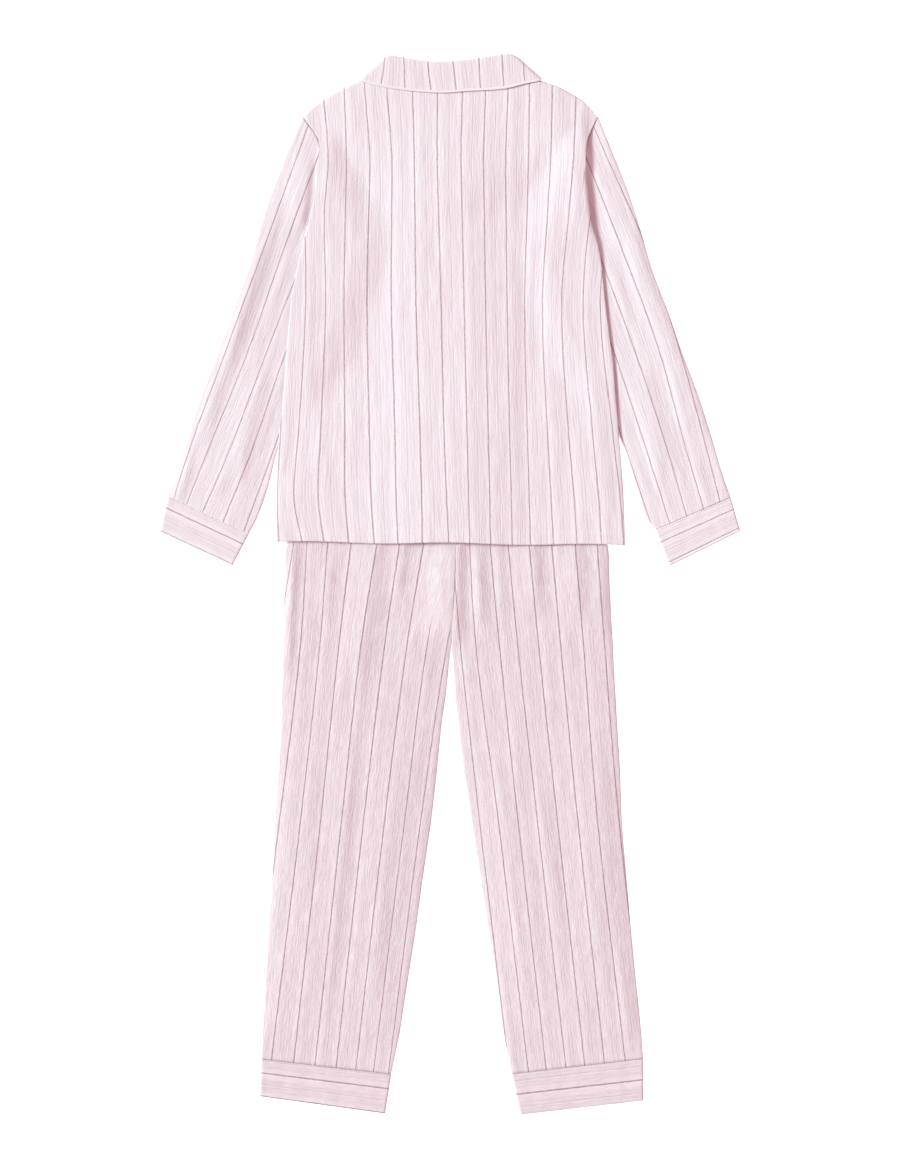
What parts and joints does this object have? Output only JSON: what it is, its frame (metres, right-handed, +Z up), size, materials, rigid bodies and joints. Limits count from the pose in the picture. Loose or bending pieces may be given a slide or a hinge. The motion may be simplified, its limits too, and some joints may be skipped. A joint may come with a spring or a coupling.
{
  "type": "pyjama set",
  "caption": "Long-sleeved button-front pyjama shirt with a notched collar, laid face down flat over matching long trousers; striped woven cotton.",
  "frame": {"origin": "on the surface that the set lies on, under the middle of its outline", "axes": "+Y from the trouser hems to the collar, +Z up out of the surface, +X to the wearer's right, which is the right of the picture"},
  "size_m": [0.8414, 1.5381, 0.0146],
  "materials": {
    "shirt_cloth": "crinkled striped woven cotton, matt",
    "trouser_cloth": "crinkled striped woven cotton, matt",
    "button": "smooth"
  },
  "bodies": {
    "root": {"shirt_back": "shirt_cloth", "shirt_front_left": "shirt_cloth", "shirt_front_right": "shirt_cloth", "shirt_collar": "shirt_cloth", "shirt_sleeve_left": "shirt_cloth", "shirt_sleeve_right": "shirt_cloth", "shirt_cuff_left": "shirt_cloth", "shirt_cuff_right": "shirt_cloth", "shirt_button_1": "button", "shirt_button_2": "button", "shirt_button_3": "button", "shirt_button_4": "button", "trouser_leg_left": "trouser_cloth", "trouser_leg_right": "trouser_cloth", "trouser_waistband": "trouser_cloth", "trouser_cuff_left": "trouser_cloth", "trouser_cuff_right": "trouser_cloth"}
  },
  "joints": []
}
